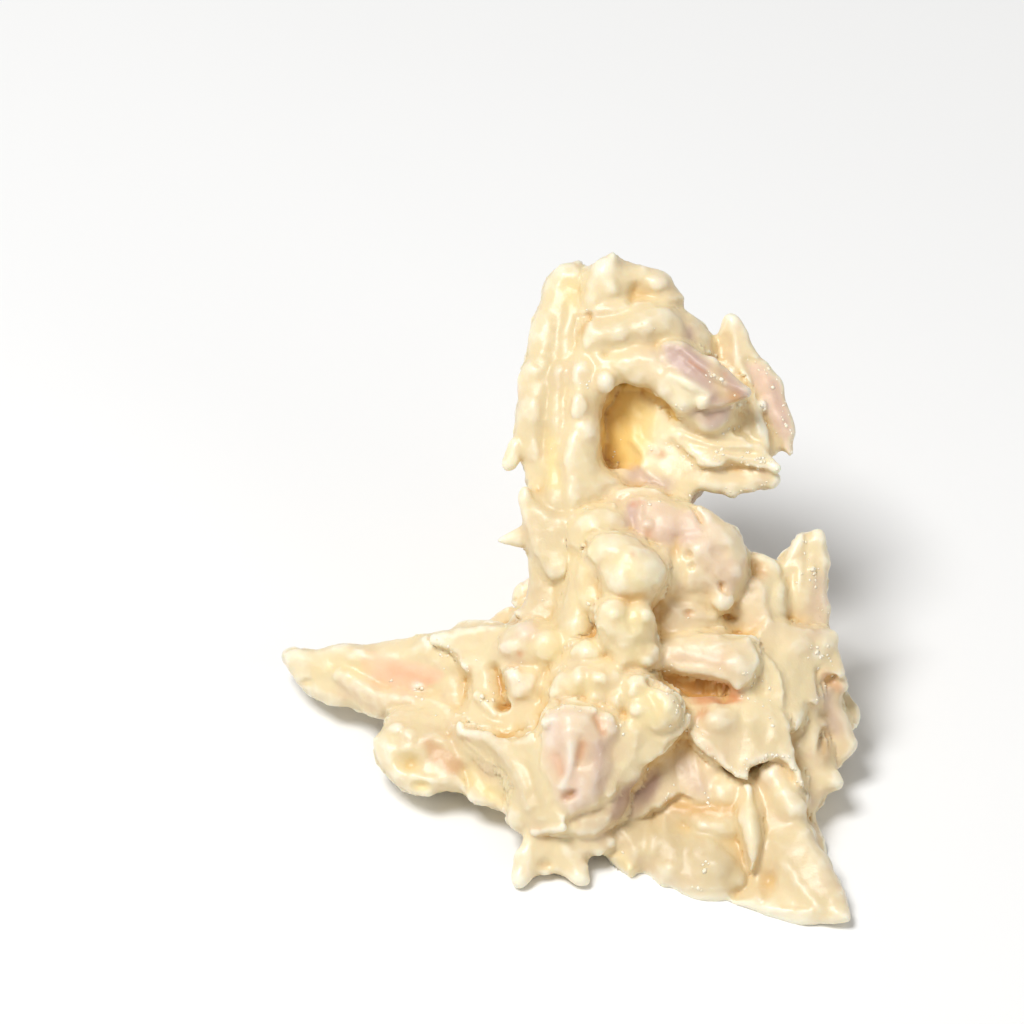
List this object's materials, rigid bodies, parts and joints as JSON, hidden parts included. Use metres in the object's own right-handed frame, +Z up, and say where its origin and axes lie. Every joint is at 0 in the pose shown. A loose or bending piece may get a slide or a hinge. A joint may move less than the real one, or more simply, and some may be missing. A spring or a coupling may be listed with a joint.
{
  "type": "white chocolate almond cluster",
  "caption": "Ragged lump of slivered almonds set in white chocolate, with a tall leaning arm, a hollow beside it, a long low tongue and a flat sole.",
  "frame": {"origin": "on the surface that the cluster rests on, under the middle of its box", "axes": "+Z up from the flat sole, +Y from the side that the picture shows towards the back, +X to the right as the picture shows it"},
  "size_m": [0.0661, 0.0654, 0.0451],
  "materials": {
    "white_chocolate": "satin white chocolate over almond slivers"
  },
  "bodies": {
    "root": {"almond_cluster": "white_chocolate"}
  },
  "joints": []
}
